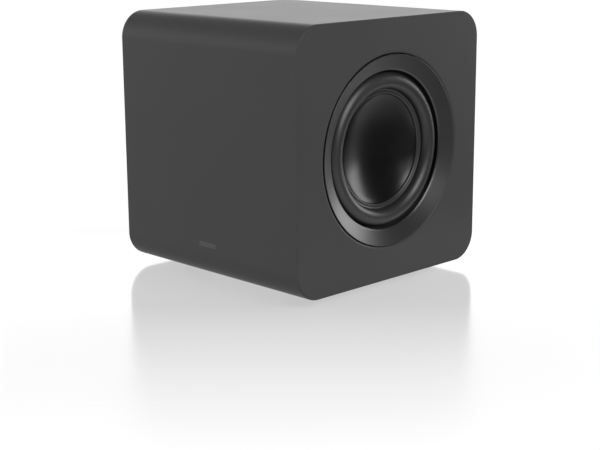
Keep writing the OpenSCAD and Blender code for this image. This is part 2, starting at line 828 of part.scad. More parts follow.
module heat_sink() color("#a9adb0")
    at_rear() translate(sink_at) {
        translate([0, (sink_d - sink_web) / 2, 0]) block([sink_w, sink_web], power_z, power_z + part_h);
        for (i = [0:sink_fins - 1])
            translate([(i / (sink_fins - 1) - 0.5) * (sink_w - sink_fin), 0, 0])
                block([sink_fin, sink_d], power_z, power_z + part_h);
    }

module cable_grommet() color("#141414")
    at_rear() translate(grommet_at) {
        groove = hole_gap / 2;
        out_r = grommet_r + grommet_lip;
        low = chassis_z;
        high = chassis_z + chassis_t;
        rotate_extrude() polygon([
            [grommet_bore_r, low - grommet_lip], [out_r, low - grommet_lip],
            [out_r, low - groove], [grommet_r - groove, low - groove],
            [grommet_r - groove, high + groove], [out_r, high + groove],
            [out_r, high + grommet_lip], [grommet_bore_r, high + grommet_lip]
        ]);
    }

module speaker_cable() color("#7a1f1f")
    for (side = [-1, 1])
        tube([for (p = wire_route) [side * p[0], p[1], p[2]]], wire_d, wire_sides);

// Controls

module socket_outline() {
    w = socket[0] / 2;
    h = socket[1] / 2;
    polygon([
        [-w, -h], [w, -h], [w, h - socket_cut],
        [w - socket_cut, h], [socket_cut - w, h], [-w, h - socket_cut]
    ]);
}

module mains_inlet() color("#121212")
    at_rear() translate(inlet_at) difference() {
        union() {
            slab(inlet_flange[0], inlet_flange[1], inlet_corner_r, 0, inlet_flange_t);
            block(inlet_body, -inlet_body_d, eps);
        }
        translate([0, socket_y, inlet_flange_t - socket_d]) linear_extrude(socket_d + eps) socket_outline();
        translate([0, socket_y, 0]) for (at = inlet_blades)
            translate(at) block(blade, -inlet_body_d - eps, 0);
        translate([0, drawer_y, 0]) {
            block(drawer_front + [2, 2] * slide_gap, 0, inlet_flange_t + eps);
            block(drawer_tray + [2, 2] * slide_gap, -drawer_tray_d - slide_gap, eps);
        }
    }

module inlet_pins() color("#c9c9c4")
    at_rear() translate(inlet_at + [0, socket_y]) for (at = inlet_blades)
        translate(at) block(blade, -inlet_body_d - inlet_blade_tail, inlet_flange_t - inlet_blade_tip);

module fuse_drawer() color("#1a1a1a")
    at_rear() translate(inlet_at + [0, drawer_y]) difference() {
        union() {
            block(drawer_front, 0, inlet_flange_t);
            block(drawer_tray, -drawer_tray_d, eps);
        }
        translate([0, 0, inlet_flange_t + drawer_notch_r / 2]) rotate([0, 90, 0])
            rod(drawer_notch_r, -drawer_front[0] / 4, drawer_front[0] / 4);
        translate([0, 0, -drawer_tray_d / 2]) rotate([90, 0, 0])
            block([drawer_pocket[0], drawer_pocket[1]], drawer_tray[1] / 2 - drawer_pocket_d, drawer_tray[1]);
    }

module power_switch() color("#121212")
    at_rear() translate(switch_at) difference() {
        union() {
            slab(rocker_flange[0], rocker_flange[1], inlet_corner_r, 0, rocker_flange_t);
            block(rocker_body, -rocker_body_d, eps);
        }
        block([rocker_w, 2 * rocker_r] + [2, 2] * slide_gap,
            rocker_z - rocker_r - slide_gap, rocker_flange_t + eps);
        translate([0, 0, rocker_z]) rotate([0, 90, 0])
            rod(rocker_pin_r + run_gap, -rocker_reach - slide_gap, rocker_reach + slide_gap);
    }

// The rocker is stored tipped to its off side, and its two ends stand higher than its middle.
module power_rocker() color("#202020")
    at_rear() translate(concat(switch_at, rocker_z)) rotate([-rocker_tilt, 0, 0]) rotate([0, 90, 0]) {
        rod(rocker_pin_r, -rocker_reach, rocker_reach);
        translate([0, 0, -rocker_w / 2]) linear_extrude(rocker_w) intersection() {
            circle(rocker_r);
            polygon([
                [rocker_r, -rocker_r], [-rocker_end_h, -rocker_r], [-rocker_mid_h, 0],
                [-rocker_end_h, rocker_r], [rocker_r, rocker_r]
            ]);
        }
    }

module pot(at) color("#8f9396")
    at_rear() translate(at) difference() {
        union() {
            rod(pot_r, control_z, -plate_t);
            rod(bushing_r, -plate_t - eps, bushing_h);
        }
        rod(shaft_r + run_gap, control_z + pot_floor, bushing_h + eps);
    }

module shaft(at) color("#c4c4be")
    at_rear() translate(at) rod(shaft_r, control_z + pot_floor + run_gap, rear_reach - knob_cap);

module knob(at) color("#1b1b1b")
    at_rear() translate(at) difference() {
        bore_r = shaft_r + run_gap;
        bore_z = rear_reach - knob_cap + run_gap;
        skirt_z = bushing_h + 1;
        rotate_extrude() polygon(concat(
            [[0, rear_reach], [0, bore_z], [bore_r, bore_z], [bore_r, skirt_z]],
            [[knob_skirt_r, skirt_z], [knob_skirt_r, knob_gap], [knob_r, knob_gap]],
            arc([knob_r - knob_ease, rear_reach - knob_ease], knob_ease, 0, 90, 5)
        ));
        around(knob_flutes, knob_r + flute_r / 2, 90 + 180 / knob_flutes)
            rod(flute_r, knob_gap + knob_ease, rear_reach + eps);
        translate([0, pointer_y, 0]) block(pointer, rear_reach - pointer_d, rear_reach + eps);
    }

module slide_switch(at) color("#5f6366")
    at_rear() translate(at) difference() {
        block(slide_body, control_z, -plate_t);
        block(slide_base + [slide_travel, 0] + [2, 2] * slide_gap,
            -plate_t - slide_base_h - slide_gap, -plate_t + eps);
    }

module slider(at) color("#161616")
    at_rear() translate(at) translate([-slide_travel / 2, 0, 0]) {
        block(slide_base, -plate_t - slide_base_h, -plate_t - slide_gap);
        block([nib_l, nib_w], -plate_t - slide_base_h, nib_h);
    }

module jack(at) color("#c9c5b8")
    at_rear() translate(at) difference() {
        union() {
            rod(jack_thread_r, control_z, eps);
            rod(jack_flange_r, 0, jack_flange_t);
            rod(jack_r, 0, jack_flange_t + jack_l);
        }
        rod(jack_bore_r, jack_flange_t, jack_flange_t + jack_l + eps);
    }

module jack_core(at, shade) color(shade)
    at_rear() translate(at)
        difference() {
            rod(jack_bore_r - hole_gap / 2, jack_flange_t, jack_flange_t + jack_l - core_recess);
            rod(core_bore_r, jack_flange_t + core_floor, jack_flange_t + jack_l);
        }

module power_lamp() color("#3a6fd8")
    at_rear() translate(lamp_at) rotate_extrude() intersection() {
        translate([0, control_z]) square([lamp_r, lamp_h - control_z]);
        translate([0, lamp_h - 2 * lamp_r]) {
            circle(2 * lamp_r);
            translate([-lamp_r, control_z - lamp_r]) square([2 * lamp_r, -control_z + lamp_r]);
        }
    }

cabinet_wrap();
front_baffle();
rear_panel();
badge_blank();
foot_place(-1, -1) foot();  // foot_front_left
foot_place(1, -1) foot();  // foot_front_right
foot_place(-1, 1) foot();  // foot_rear_left
foot_place(1, 1) foot();  // foot_rear_right
foot_screws();
driver_gasket();
driver_basket();
driver_screws();
trim_ring();
surround();
cone();
coil_former();
voice_coil();
spider();
tinsel_leads();
terminal_board();
terminal_tabs();
top_plate();
magnet();
pole_yoke();
amp_plate();
amp_gasket();
amp_screws();
amp_chassis();
chassis_posts();
chassis_screws();
control_board();
power_board();
board_link();
transformer();
filter_capacitors();
output_inductors();
heat_sink();
mains_inlet();
inlet_pins();
fuse_drawer();
power_switch();
power_rocker();
pot(volume_at);  // volume_pot
shaft(volume_at);  // volume_shaft
knob(volume_at);  // volume_knob
pot(crossover_at);  // crossover_pot
shaft(crossover_at);  // crossover_shaft
knob(crossover_at);  // crossover_knob
slide_switch(phase_at);  // phase_switch
slider(phase_at);  // phase_slider
slide_switch(mode_at);  // mode_switch
slider(mode_at);  // mode_slider
jack(left_at);  // left_jack
jack_core(left_at, "#d8d8d4");  // left_jack_core
jack(right_at);  // right_jack
jack_core(right_at, "#a82020");  // right_jack_core
power_lamp();
speaker_cable();
cable_grommet();
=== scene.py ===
"""Compact powered subwoofer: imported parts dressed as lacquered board, moulded plastic, rubber and metal."""
import json
import math

import bmesh
import bpy
from mathutils import Matrix, Vector


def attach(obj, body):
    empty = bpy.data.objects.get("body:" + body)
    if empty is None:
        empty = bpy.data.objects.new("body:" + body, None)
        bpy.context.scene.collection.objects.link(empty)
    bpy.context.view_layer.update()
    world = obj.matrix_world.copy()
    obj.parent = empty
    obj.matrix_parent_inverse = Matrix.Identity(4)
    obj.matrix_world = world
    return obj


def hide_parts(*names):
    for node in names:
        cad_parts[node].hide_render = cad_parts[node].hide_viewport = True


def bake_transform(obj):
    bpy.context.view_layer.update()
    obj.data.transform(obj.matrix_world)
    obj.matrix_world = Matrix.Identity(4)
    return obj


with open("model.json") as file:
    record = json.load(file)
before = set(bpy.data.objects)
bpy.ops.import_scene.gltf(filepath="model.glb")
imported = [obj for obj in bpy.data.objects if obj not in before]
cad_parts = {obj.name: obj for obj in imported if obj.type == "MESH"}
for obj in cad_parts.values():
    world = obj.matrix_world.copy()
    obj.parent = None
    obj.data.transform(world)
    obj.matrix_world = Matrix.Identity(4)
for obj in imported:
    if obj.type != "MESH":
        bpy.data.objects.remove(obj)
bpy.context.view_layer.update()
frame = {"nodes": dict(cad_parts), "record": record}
nodes = frame["nodes"]

# Sizes are in millimetres and angles in degrees. On the driver and on the plate, z is the height from the
# face of the baffle or of the rear board.
MM = 0.001

# Cabinet, with the openings for the driver, the amplifier and the printed bar
CAB_W, CAB_H, CAB_D, EDGE_R, FOOT_H = 210, 210, 208, 22, 6
WALL_T, BAFFLE_T, REAR_T, BOARD_EASE = 15, 27, 15, 0.9
FRONT_Y = -111
REAR_Y = FRONT_Y + CAB_D
AXIS_Z = FOOT_H + CAB_H / 2
REBATE_R, REBATE_Z, CUTOUT_R, RIM_ROUND = 76.9, -16.9, 66.4, 2.4
REAR_CUT_W, REAR_CUT_H = 130, 140
BADGE_W, BADGE_H, BADGE_R, BADGE_DEPTH, BADGE_Y, BADGE_Z = 20, 4, 1, 0.6, -7, 35

# Trim ring; its lip, and the gap and the rim round it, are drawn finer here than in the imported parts
RING_R, RING_EASE, RING_BEVEL = 76.6, 0.4, 22.5
SHOULDER_R, SHOULDER_TURN, RING_LIP, RING_LIP_R = 4, 48, (64.2, -6.17), 0.8
RING_SIDE, RING_WALL, RIB_T = 1.5, 2, 1.6

# Surround: a flat lip under the ring, the roll, a groove and a bead glued to the dish
LIP_Z, FLANGE_Z, LIP_OUT_R = -11.2, -12.4, 68.4
ROLL_OUT_R, ROLL_IN_R, ROLL_RISE, ROLL_FOOT, ROLL_END, RUBBER_T = 61.7, 48.6, 6.1, 0.9, 178, 1.2
BEAD_IN_R, BEAD_OUT_R, BEAD_H, BEAD_GAP = 44, 46.4, 1.45, 0.2
GROOVE_H, GLUE_GAP, GLUE_RADII = 0.5, 0.25, (BEAD_IN_R, 45.5, 47, 49)

# Cone, spider, leads and wires
DISH_R, DISH_CENTRE_Z, CONE_R, CONE_T = 106, 82.602, 49.6, 1.5
FLARE_R, FLARE_H = 39, 0.4
COLLAR_IN_R, COLLAR_OUT_R, COLLAR_Z = 19.25, 21.25, -27.45
SPIDER_Z, SPIDER_T, SPIDER_OUT_R = -40.9, 0.6, 47.5
WAVE_IN_R, WAVE_OUT_R, WAVES, WAVE_H = 21.25, 42.5, 4, 1.5
LEAD_D, LEAD_X, LEAD_TOP_Z, WIRE_D = 1.4, 7, -38.9, 2.4

# Amplifier's plate, knobs and lamp
PLATE_W, PLATE_H, PLATE_R, PLATE_T = 150, 160, 6, 2.5
PLATE_GAP, PLATE_EASE, GASKET_T = 0.5, 0.4, 1.5
KNOB_R, KNOB_TOP, KNOB_TURN = 9, 14, 140
POINTER_W, POINTER_H, POINTER_Y, POINTER_D = 1, 4.5, 5.8, 0.6
LAMP_R, LAMP_TOP, LAMP_BACK = 1.5, 0.9, -11.5

# Places on the plate, seen from behind
VOLUME, CROSSOVER, LAMP = (-34, 46), (6, 46), (42, 50)
PHASE, MODE, SWITCH = (-34, 8), (6, 8), (34, -44)
LEFT_JACK, RIGHT_JACK = (42, 24), (42, 2)

# The driver looks out of the front, the amplifier out of the rear and the printed bar out of the left side:
# x is right, y is up and z is outwards on each
AT_DRIVER = Matrix.Translation((0, FRONT_Y * MM, AXIS_Z * MM)) @ Matrix.Rotation(math.pi / 2, 4, "X")
AT_REAR = (
    Matrix.Translation((0, REAR_Y * MM, AXIS_Z * MM))
    @ Matrix.Rotation(math.pi, 4, "Z")
    @ Matrix.Rotation(math.pi / 2, 4, "X")
)
AT_BADGE = (
    Matrix.Translation((-CAB_W / 2 * MM, BADGE_Y * MM, BADGE_Z * MM))
    @ Matrix.Rotation(-math.pi / 2, 4, "Z")
    @ Matrix.Rotation(math.pi / 2, 4, "X")
)


# Shader tools

# A wave texture turns through this many radians in one unit of its scale
WAVE_RADIANS = 20


def linear(code):
    """An sRGB hex colour as linear red, green, blue and alpha."""
    shares = [int(code[i : i + 2], 16) / 255 for i in (1, 3, 5)]
    return [s / 12.92 if s <= 0.04045 else ((s + 0.055) / 1.055) ** 2.4 for s in shares] + [1]


def add(tree, kind, inputs=None, **settings):
    """A shader node with its settings; an input is a value, or the output of another node."""
    node = tree.nodes.new("ShaderNode" + kind)
    for name, value in settings.items():
        setattr(node, name, value)
    for name, value in (inputs or {}).items():
        if isinstance(value, bpy.types.NodeSocket):
            tree.links.new(value, node.inputs[name])
        else:
            node.inputs[name].default_value = value
    return node


def per_metre(size_mm):
    """The texture scale that gives features of this size."""
    return 1 / (size_mm * MM)


def surface(
    name, colour, tint, roughness, grain_mm, depth_mm, patch_mm, uneven=0.04, specular=0.5, metallic=0.0
):
    """A plain finish: fine grain of a given size and depth, and slow patches of a tint and of gloss."""
    finish = bpy.data.materials.new(name)
    finish.use_nodes = True
    tree = finish.node_tree
    tree.nodes.clear()
    place = add(tree, "TexCoord").outputs["Object"]
    patches = add(tree, "TexNoise", {"Vector": place, "Scale": per_metre(patch_mm), "Detail": 3.0})
    grain = add(tree, "TexNoise", {"Vector": place, "Scale": per_metre(grain_mm), "Detail": 2.0})
    shade = add(
        tree, "Mix", {0: patches.outputs["Fac"], 6: linear(colour), 7: linear(tint)}, data_type="RGBA"
    )
    gloss = add(
        tree,
        "MapRange",
        {"Value": patches.outputs["Fac"], "To Min": roughness - uneven, "To Max": roughness + uneven},
    )
    bump = add(tree, "Bump", {"Height": grain.outputs["Fac"], "Distance": depth_mm * MM})
    shader = add(
        tree,
        "BsdfPrincipled",
        {
            "Base Color": shade.outputs[2],
            "Roughness": gloss.outputs["Result"],
            "Normal": bump.outputs["Normal"],
            "Specular IOR Level": specular,
            "Metallic": metallic,
        },
    )
    add(tree, "OutputMaterial", {"Surface": shader.outputs["BSDF"]})
    return finish


def weave(finish, thread_mm, depth_mm, along, across):
    """Adds threads that pass over and under each other, in place of the plain grain.
    They are drawn about six times as coarse as real ones, so that they show."""
    tree = finish.node_tree
    place = add(tree, "TexCoord").outputs["Object"]
    scale = 2 * math.pi * per_metre(thread_mm) / WAVE_RADIANS
    threads = [
        add(tree, "TexWave", {"Vector": place, "Scale": scale}, bands_direction=axis).outputs["Fac"]
        for axis in (along, across)
    ]
    cloth = add(tree, "Math", {0: threads[0], 1: threads[1]}, operation="MULTIPLY")
    bump = add(tree, "Bump", {"Height": cloth.outputs["Value"], "Distance": depth_mm * MM})
    shader = next(n for n in tree.nodes if n.type == "BSDF_PRINCIPLED")
    tree.links.new(bump.outputs["Normal"], shader.inputs["Normal"])
    return finish


# Finishes

# Satin lacquer sprayed on fibreboard: even dark grey, a faint orange peel and soft grazing reflections
lacquer = surface(
    "satin_lacquer", "#454545", "#484848",
    roughness=0.34, grain_mm=2.2, depth_mm=0.004, patch_mm=60, uneven=0.03, specular=0.12,
)
# Spark-textured ABS moulding: a shade darker than the lacquer, with a soft sheen that runs round the bevel
ring_abs = surface(
    "moulded_abs_ring", "#202020", "#232323",
    roughness=0.3, grain_mm=0.3, depth_mm=0.004, patch_mm=40, uneven=0.03, specular=0.6,
)
# Butyl rubber from a polished mould: near black, with a broad soft highlight on the roll
butyl = surface(
    "butyl_rubber", "#242424", "#272727",
    roughness=0.38, grain_mm=0.25, depth_mm=0.006, patch_mm=25, specular=0.52,
)
# Injection moulded polypropylene: deep black satin dish
polypropylene = surface(
    "polypropylene_cone", "#060606", "#090909",
    roughness=0.23, grain_mm=0.4, depth_mm=0.003, patch_mm=30, specular=0.3,
)
# Pad-printed ink on the cabinet: a slightly lighter matt bar
ink_bar = surface(
    "pad_print_bar", "#525252", "#565656",
    roughness=0.5, grain_mm=0.5, depth_mm=0.002, patch_mm=8, specular=0.2,
)
# White pad print on the plate: flat, slightly chalky
white_ink = surface(
    "white_pad_print", "#c9cac8", "#d2d3d1", roughness=0.6, grain_mm=0.4, depth_mm=0.002, patch_mm=6
)
# Moulded rubber: matt, with a fine mould texture
foot_rubber = surface(
    "moulded_foot_rubber", "#1b1b1c", "#212122", roughness=0.75, grain_mm=0.5, depth_mm=0.02, patch_mm=10
)
# Closed-cell foam: matt, with open cells on the cut faces
foam = surface(
    "closed_cell_foam", "#151515", "#1b1b1b", roughness=0.95, grain_mm=0.7, depth_mm=0.12, patch_mm=6
)
# Zinc plated steel: bright, slightly blue, with a rolled grain
zinc = surface(
    "zinc_plated_steel", "#b7babd", "#a5a8ac",
    roughness=0.32, grain_mm=0.35, depth_mm=0.004, patch_mm=12, uneven=0.06, metallic=1.0,
)
# Black oxide steel: dark, oily and satin
black_oxide = surface(
    "black_oxide_steel", "#38383a", "#2c2c2e",
    roughness=0.38, grain_mm=0.25, depth_mm=0.004, patch_mm=5, uneven=0.06, metallic=0.85,
)
# Powder coat on the basket and on the aluminium plate: matt black with a fine sand texture
basket_coat = surface(
    "powder_coated_basket", "#232324", "#28282a", roughness=0.6, grain_mm=0.6, depth_mm=0.03, patch_mm=20
)
plate_coat = surface(
    "powder_coated_aluminium", "#1d1e1f", "#222324", roughness=0.55, grain_mm=0.7, depth_mm=0.03, patch_mm=30
)
# Mill aluminium: pale grey, with a drawn grain
aluminium = surface(
    "mill_aluminium", "#c3c5c7", "#b4b6b8",
    roughness=0.35, grain_mm=0.5, depth_mm=0.003, patch_mm=10, uneven=0.08, metallic=1.0,
)
# Enamelled copper wire: a warm red metal under a clear coat
copper = surface(
    "enamelled_copper", "#b4673a", "#9a5428",
    roughness=0.3, grain_mm=0.4, depth_mm=0.01, patch_mm=6, uneven=0.05, metallic=1.0,
)
# Flat copper threads braided over a cotton core: coppery, with a slanting weave
tinsel = surface(
    "braided_tinsel", "#b7713f", "#9c5a2c",
    roughness=0.38, grain_mm=0.4, depth_mm=0.01, patch_mm=5, metallic=1.0,
)
braid = weave(tinsel, thread_mm=2.2, depth_mm=0.05, along="DIAGONAL", across="Z")
# Cotton cloth stiffened with resin: amber, woven
stiff_cloth = surface(
    "resin_cotton_cloth", "#b08a3e", "#9c7630", roughness=0.8, grain_mm=0.6, depth_mm=0.02, patch_mm=8
)
cotton = weave(stiff_cloth, thread_mm=4.4, depth_mm=0.12, along="X", across="Z")
# Glass and epoxy board: green solder resist over a woven sheet
resist = surface(
    "epoxy_glass_board", "#1d5233", "#1a4a2e", roughness=0.4, grain_mm=0.6, depth_mm=0.01, patch_mm=12
)
epoxy = weave(resist, thread_mm=5.65, depth_mm=0.02, along="X", across="Z")
# Nickel plated brass: warm bright metal
nickel = surface(
    "nickel_plated_brass", "#cfcabd", "#c2bcab",
    roughness=0.22, grain_mm=0.4, depth_mm=0.002, patch_mm=6, uneven=0.05, metallic=1.0,
)
# Motor steel under a thin black passivation: dark grey, dull metal
motor_steel = surface(
    "passivated_motor_steel", "#4a4c50", "#3d3f42",
    roughness=0.42, grain_mm=0.5, depth_mm=0.01, patch_mm=10, uneven=0.06, metallic=0.9,
)
# Sintered ferrite: charcoal, granular and dull
ferrite = surface(
    "sintered_ferrite", "#2c2d2f", "#363739", roughness=0.7, grain_mm=0.5, depth_mm=0.05, patch_mm=8
)
# Glass-filled nylon for switches and sockets: black with a dull moulded skin
nylon = surface(
    "glass_filled_nylon", "#161617", "#1b1b1c", roughness=0.5, grain_mm=0.35, depth_mm=0.008, patch_mm=8
)
# Soft-touch ABS for the knobs: black, with a dry, dull sheen
knob_abs = surface(
    "soft_touch_abs_knob", "#1b1b1c", "#202021", roughness=0.58, grain_mm=0.25, depth_mm=0.008, patch_mm=8
)
# Moulded acetal in the sockets: smooth and slightly waxy, white or red
white_acetal = surface(
    "white_acetal", "#d8d6cf", "#cfcdc5", roughness=0.4, grain_mm=0.4, depth_mm=0.003, patch_mm=5
)
red_acetal = surface(
    "red_acetal", "#a3211f", "#981b1a", roughness=0.4, grain_mm=0.4, depth_mm=0.003, patch_mm=5
)
# Tinted polycarbonate light pipe: smooth and blue, with a sharp highlight
lamp_blue = surface(
    "tinted_polycarbonate", "#2f5fae", "#3568ba",
    roughness=0.12, grain_mm=0.5, depth_mm=0.001, patch_mm=4, uneven=0.02,
)
# PVC insulation on stranded wire: dull red, slightly uneven
pvc = surface(
    "pvc_wire_jacket", "#7d1f1f", "#6f1818", roughness=0.45, grain_mm=0.8, depth_mm=0.02, patch_mm=10
)

BY_SLOT = {
    "cabinet_paint": lacquer,
    "badge": ink_bar,
    "foot_rubber": foot_rubber,
    "bright_steel": zinc,
    "black_steel": black_oxide,
    "gasket_foam": foam,
    "basket_paint": basket_coat,
    "trim_plastic": ring_abs,
    "surround_rubber": butyl,
    "cone_plastic": polypropylene,
    "bare_aluminium": aluminium,
    "copper": copper,
    "spider_cloth": cotton,
    "board_plastic": epoxy,
    "contact_brass": nickel,
    "motor_steel": motor_steel,
    "ferrite": ferrite,
    "plate_black": plate_coat,
    "control_plastic": nylon,
    "knob_plastic": knob_abs,
    "white_plastic": white_acetal,
    "red_plastic": red_acetal,
    "lamp_lens": lamp_blue,
    "wire_jacket": pvc,
}
for part in frame["record"]["subparts"]:
    mesh = nodes[part["node"]].data
    mesh.materials.clear()
    mesh.materials.append(BY_SLOT[part["material_slot"]])


# Shape tools

# Edges sharper than this angle in degrees stay sharp, and points nearer than this in metres become one
CREASE = 30
MERGE = 1e-7
# A flat face's full share in the normals beside it
FLAT_WEIGHT = 100


def piece(name, points, faces, slot, body=None, stands_for=(), at=None, finish=None):
    """A mesh piece from points in millimetres, on its body, with its finish and the nodes it stands for."""
    mesh = bpy.data.meshes.new(name)
    mesh.from_pydata([Vector(p) * MM for p in points], [], faces)
    if at:
        mesh.transform(at)
    made = bmesh.new()
    made.from_mesh(mesh)
    bmesh.ops.remove_doubles(made, verts=made.verts, dist=MERGE)
    bmesh.ops.recalc_face_normals(made, faces=made.faces)
    made.to_mesh(mesh)
    made.free()
    mesh.shade_smooth()
    mesh.set_sharp_from_angle(angle=math.radians(CREASE))
    mesh.materials.append(finish or BY_SLOT[slot])
    thing = bpy.data.objects.new(name, mesh)
    bpy.context.scene.collection.objects.link(thing)
    # Large flat faces keep their own normal beside an eased edge
    held = thing.modifiers.new("flat faces", "WEIGHTED_NORMAL")
    held.weight, held.keep_sharp = FLAT_WEIGHT, True
    if stands_for:
        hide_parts(*stands_for)
    if body:
        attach(thing, body)
    return thing


def loft(loops, ring=True):
    """Points and faces that join loops of as many points each; with ring, the last loop joins the first."""
    count = len(loops[0])
    points = [p for loop in loops for p in loop]
    faces = []
    for i in range(len(loops) if ring else len(loops) - 1):
        a, b = i * count, (i + 1) % len(loops) * count
        for k in range(count):
            n = (k + 1) % count
            faces.append((a + k, a + n, b + n, b + k))
    return points, faces


def ends(count, size):
    """The two faces that close an open loft of count points, with loops of this size."""
    return [tuple(range(size)), tuple(range(count - size, count))]


def rounded(w, h, r, z, steps=24):
    """A level rectangle with round corners of so many steps each."""
    loop = []
    for quarter, (sx, sy) in enumerate(((1, 1), (-1, 1), (-1, -1), (1, -1))):
        for i in range(steps + 1):
            turn = math.radians(90 * (quarter + i / steps))
            loop.append((sx * (w / 2 - r) + r * math.cos(turn), sy * (h / 2 - r) + r * math.sin(turn), z))
    return loop


def circle(r, z, count=100):
    """A level circle; its usual count is that of a rounded rectangle, so that the two can be joined."""
    return [
        (r * math.cos(2 * math.pi * (k + 0.5) / count), r * math.sin(2 * math.pi * (k + 0.5) / count), z)
        for k in range(count)
    ]


def arc(centre, r, start, end, steps):
    """Points of an arc in a profile, from one angle to another in degrees."""
    turns = [math.radians(start + (end - start) * i / steps) for i in range(steps + 1)]
    return [(centre[0] + r * math.cos(t), centre[1] + r * math.sin(t)) for t in turns]


def turned(profile, count=192):
    """The closed profile of radius and height, turned about the z axis."""
    return loft([circle(r, z, count) for r, z in profile])


# Cabinet boards: the baffle and the rear board close the wrap, and the outer edges are eased before spraying


def eased_outline(steps=4):
    """The outline of the cabinet's end face, from the face to the side, over a small quarter round."""
    loops = []
    for i in range(steps + 1):
        turn = math.pi / 2 * i / steps
        inset = BOARD_EASE * (1 - math.sin(turn))
        z = -BOARD_EASE * (1 - math.cos(turn))
        loops.append(rounded(CAB_W - 2 * inset, CAB_H - 2 * inset, EDGE_R - inset, z))
    return loops


baffle_rim = [circle(r, z) for r, z in arc((REBATE_R + RIM_ROUND, -RIM_ROUND), RIM_ROUND, 180, 90, steps=6)]
points, faces = loft(
    [circle(CUTOUT_R, -BAFFLE_T), circle(CUTOUT_R, REBATE_Z), circle(REBATE_R, REBATE_Z)]
    + baffle_rim
    + eased_outline()
    + [rounded(CAB_W, CAB_H, EDGE_R, -BAFFLE_T)]
)
piece("baffle_board", points, faces, "cabinet_paint", "cabinet", ["front_baffle"], AT_DRIVER)

well_z = -PLATE_T - GASKET_T
plate_well = [
    rounded(PLATE_W + 2 * (PLATE_GAP + inset), PLATE_H + 2 * (PLATE_GAP + inset), PLATE_R + inset, z)
    for inset, z in [(0, well_z), (0, -PLATE_EASE), (PLATE_EASE, 0)]
]
points, faces = loft(
    [rounded(REAR_CUT_W, REAR_CUT_H, PLATE_R, z) for z in (-REAR_T, well_z)]
    + plate_well
    + eased_outline()
    + [rounded(CAB_W, CAB_H, EDGE_R, -REAR_T)]
)
piece("rear_board", points, faces, "cabinet_paint", "cabinet", ["rear_panel"], AT_REAR)

inner_w = CAB_W - 2 * WALL_T
points, faces = loft(
    [
        rounded(CAB_W, CAB_H, EDGE_R, -BAFFLE_T),
        rounded(CAB_W, CAB_H, EDGE_R, REAR_T - CAB_D),
        rounded(inner_w, inner_w, EDGE_R - WALL_T, REAR_T - CAB_D),
        rounded(inner_w, inner_w, EDGE_R - WALL_T, -BAFFLE_T),
    ]
)
wrap_walls = piece("wrap_walls", points, faces, "cabinet_paint", "cabinet", ["cabinet_wrap"], AT_DRIVER)


def cut(body, points, faces, at):
    """Takes a closed shape out of a piece."""
    tool_mesh = bpy.data.meshes.new("tool")
    tool_mesh.from_pydata([Vector(p) * MM for p in points], [], faces)
    tool_mesh.transform(at)
    tool = bpy.data.objects.new("tool", tool_mesh)
    bpy.context.scene.collection.objects.link(tool)
    step = body.modifiers.new("cut", "BOOLEAN")
    step.operation, step.object, step.solver = "DIFFERENCE", tool, "EXACT"
    bpy.context.view_layer.update()
    made = bpy.data.meshes.new_from_object(body.evaluated_get(bpy.context.evaluated_depsgraph_get()))
    body.modifiers.remove(step)
    body.data = made
    bpy.data.objects.remove(tool)


# The printed bar lies in a shallow pocket in the left wall; the tool that cuts it stands clear of the wall
TOOL_TOP = 1
tool_loops = [rounded(BADGE_W, BADGE_H, BADGE_R, z, steps=6) for z in (-BADGE_DEPTH, TOOL_TOP)]
pocket, walls = loft(tool_loops, ring=False)
base, top = ends(len(pocket), len(tool_loops[0]))
cut(wrap_walls, pocket, walls + [base[::-1], top], AT_BADGE)

# Trim ring: an eased outer edge and a straight bevel that rolls over a shoulder to a thin lip, hollow behind
shoulder_end = math.radians(SHOULDER_TURN)
shoulder_way = Vector((math.sin(shoulder_end), -math.cos(shoulder_end)))
shoulder = Vector(RING_LIP) + (SHOULDER_R - RING_LIP_R) * shoulder_way


def hollow_z(r):
    """Height of the ring's inner wall, behind the bevel."""
    return (r - RING_R + RING_EASE) * math.tan(math.radians(RING_BEVEL)) - RING_WALL


points, faces = turned(
    [(RING_R, FLANGE_Z)]
    + arc((RING_R - RING_EASE, -RING_EASE), RING_EASE, 0, 90 + RING_BEVEL, steps=6)
    + arc(shoulder, SHOULDER_R, 90 + RING_BEVEL, 90 + SHOULDER_TURN, steps=8)
    + arc(RING_LIP, RING_LIP_R, 90 + SHOULDER_TURN, 270, steps=10)
    + [(CUTOUT_R, RING_LIP[1] - RING_LIP_R), (CUTOUT_R, LIP_Z), (CUTOUT_R + RIB_T, LIP_Z)]
    + [(r, hollow_z(r)) for r in (CUTOUT_R + RIB_T, RING_R - RING_SIDE)]
    + [(RING_R - RING_SIDE, FLANGE_Z)]
)
piece("bevel_ring", points, faces, "trim_plastic", "cabinet", ["trim_ring"], AT_DRIVER)


def dish_z(radius, r):
    """Height of a sphere of this radius about the dish's centre, at distance r from the axis."""
    return DISH_CENTRE_Z - math.sqrt(radius * radius - r * r)


def on_dish(r, h):
    """The point of a profile at height h over the dish's face."""
    return r, dish_z(DISH_R - h, r)


